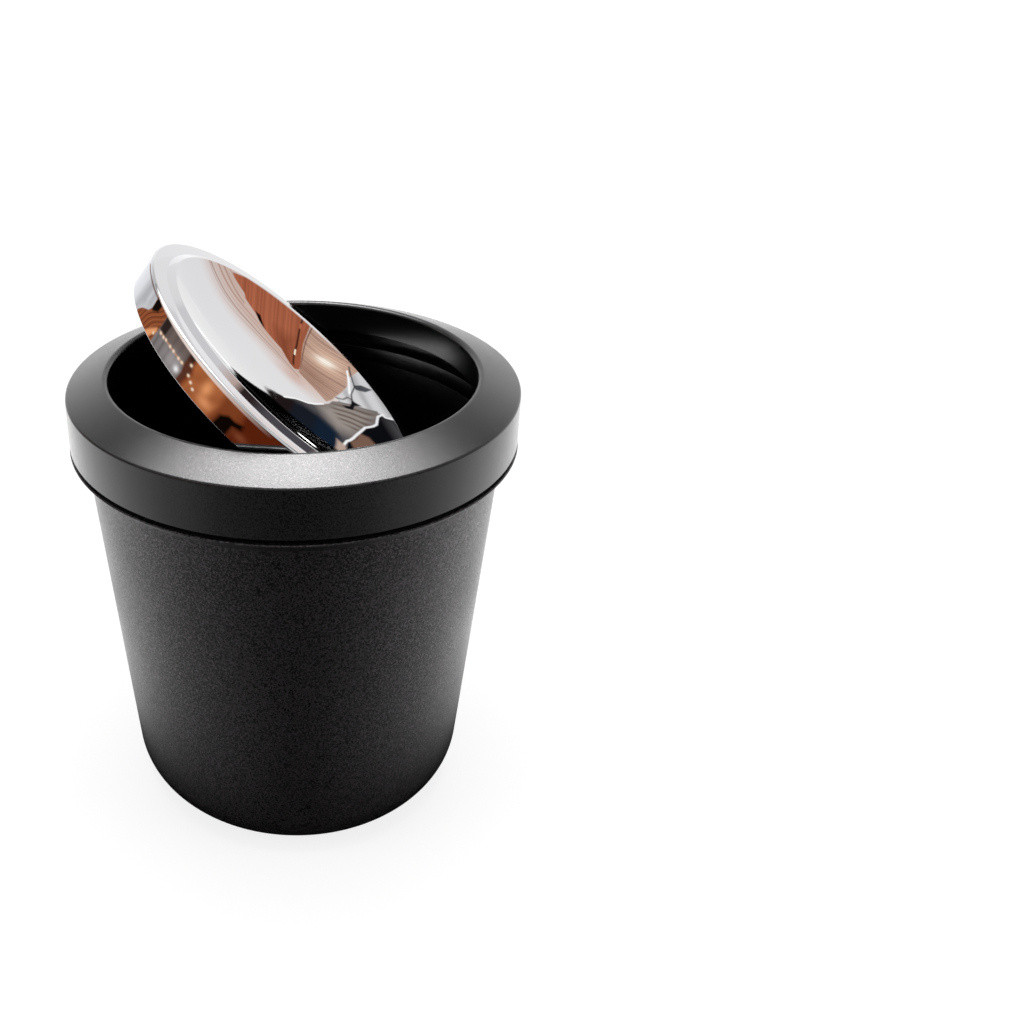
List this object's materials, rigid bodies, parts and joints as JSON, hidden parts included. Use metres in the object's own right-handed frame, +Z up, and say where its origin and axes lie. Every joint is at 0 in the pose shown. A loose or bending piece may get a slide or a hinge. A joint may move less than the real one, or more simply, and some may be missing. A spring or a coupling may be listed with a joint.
{
  "type": "swing lid trash can",
  "caption": "Round tapered waste bin with a lift-off ring and a dished chrome flap that swings on two hidden pins, held open.",
  "frame": {"origin": "middle of the circle the bin stands on", "axes": "+Z up; the flap's pins lie along Y; the flap is held open with its raised side at -X and its lowered side at +X"},
  "size_m": [0.2144, 0.2144, 0.2851],
  "materials": {
    "satin_black_plastic": "satin, finely grained",
    "moulded_black_plastic": "as moulded",
    "chrome_plate": "mirror",
    "pin_steel": "drawn",
    "bush_acetal": "natural"
  },
  "bodies": {
    "bin": {"bin_body": "satin_black_plastic"},
    "ring": {"lid_ring": "satin_black_plastic", "pivot_bush_front": "bush_acetal", "pivot_bush_back": "bush_acetal"},
    "flap": {"flap_shell": "chrome_plate", "flap_base": "moulded_black_plastic", "pivot_pin_front": "pin_steel", "pivot_pin_back": "pin_steel", "flap_screw_1": "pin_steel", "flap_screw_2": "pin_steel", "flap_screw_3": "pin_steel", "flap_screw_4": "pin_steel"}
  },
  "joints": [
    {"name": "lid_lift", "type": "slide", "parent": "bin", "child": "ring", "axis": [0, 0, 1], "range_m": [0, 0.15]},
    {"name": "flap_swing", "type": "hinge", "parent": "ring", "child": "flap", "pos_m": [0, 0, 0.2264], "axis": [0, 1, 0], "range_deg": [-132, 48]}
  ]
}
